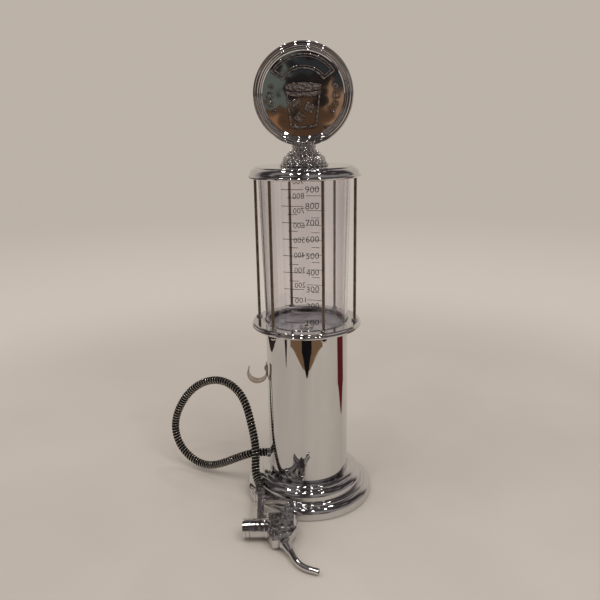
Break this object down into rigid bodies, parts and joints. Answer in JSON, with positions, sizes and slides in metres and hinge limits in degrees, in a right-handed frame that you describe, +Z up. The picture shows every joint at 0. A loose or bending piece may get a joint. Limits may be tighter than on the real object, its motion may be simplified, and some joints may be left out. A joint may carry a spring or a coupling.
{
  "type": "table-top drink dispenser",
  "caption": "Chrome table-top drink dispenser shaped like an old visible-glass fuel pump, with round sign, clear graduated tank, coil hose and trigger nozzle.",
  "frame": {"origin": "centre of the underside of the base, on the table", "axes": "+Z up, sign and tank scale face -Y, hose and hook on the -X side"},
  "size_m": [0.2396, 0.228, 0.4842],
  "materials": {
    "chrome": "mirror chrome plate",
    "chrome_field": "polished chrome plate with raised relief",
    "chrome_cast": "chrome plate over a small casting",
    "steel_plain": "plain zinc-plated steel",
    "steel_strap": "dull nickel strip",
    "steel_coil": "bright steel wire over black hose",
    "brass_dark": "dark bronzed brass rod",
    "brass_plain": "plain turned brass",
    "clear_plastic": "clear moulded plastic",
    "rubber_black": "black moulded rubber",
    "hose_black": "black hose",
    "tube_soft": "milky soft tube",
    "felt_pad": "black felt"
  },
  "bodies": {
    "pump": {"base_pad": "felt_pad", "base_plate": "steel_plain", "base_screws": "steel_plain", "base_shell": "chrome", "column_tube": "chrome", "column_flange": "steel_plain", "column_screws": "steel_plain", "tank": "clear_plastic", "tank_gasket": "rubber_black", "tank_ring": "chrome", "tank_top_seal": "rubber_black", "tie_rods": "brass_dark", "rod_collars": "chrome", "acorn_nuts": "chrome", "drain_fitting": "chrome", "drain_gasket": "rubber_black", "drain_nut": "brass_plain", "inner_tube": "tube_soft", "outlet_fitting": "chrome", "outlet_nut": "brass_plain", "top_cap": "chrome", "hook": "steel_strap", "hook_screw": "steel_plain", "hook_nut": "steel_plain", "hose_tube": "hose_black", "hose_armour": "steel_coil"},
    "stopper": {"filler_stopper": "rubber_black"},
    "sign": {"finial": "chrome", "stopper_washer": "steel_plain", "stopper_screw": "steel_plain", "sign_stud": "steel_plain", "sign_rim": "chrome", "sign_front": "chrome_field", "sign_back": "chrome_field"},
    "hose_end": {"hose_ferrule": "chrome"},
    "nozzle": {"nozzle_body": "chrome_cast", "valve_bonnet": "chrome", "stem_o_ring": "rubber_black", "spout_collar": "chrome", "spout": "chrome", "trigger_pin": "steel_plain", "valve_spring": "steel_plain"},
    "valve": {"valve_plunger": "brass_plain", "valve_washer": "rubber_black"},
    "trigger": {"trigger": "chrome_cast"}
  },
  "joints": [
    {"name": "stopper_lift", "type": "slide", "parent": "pump", "child": "stopper", "axis": [0, 0, 1], "range_m": [0, 0.045]},
    {"name": "sign_turn", "type": "hinge", "parent": "stopper", "child": "sign", "pos_m": [0, 0, 0.366], "axis": [0, 0, 1], "continuous": true},
    {"name": "nozzle_lift", "type": "slide", "parent": "pump", "child": "hose_end", "axis": [0, 0, 1], "range_m": [0, 0.05], "deforming": ["hose_tube", "hose_armour"]},
    {"name": "nozzle_turn", "type": "hinge", "parent": "hose_end", "child": "nozzle", "pos_m": [-0.0538, -0.05098, 0.01875], "axis": [0.0452, -0.988, -0.1477], "range_deg": [0, 180]},
    {"name": "trigger_pull", "type": "hinge", "parent": "nozzle", "child": "trigger", "pos_m": [-0.0204, -0.10538, 0.01062], "axis": [0, -0.1478, 0.989], "range_deg": [0, 14]},
    {"name": "valve_travel", "type": "slide", "parent": "nozzle", "child": "valve", "axis": [-1, 0, 0], "range_m": [0, 0.00186], "deforming": ["valve_spring"]}
  ],
  "couplings": [
    {"joint": "trigger_pull", "follows": "valve_travel", "rad_per_m": 131.58}
  ]
}
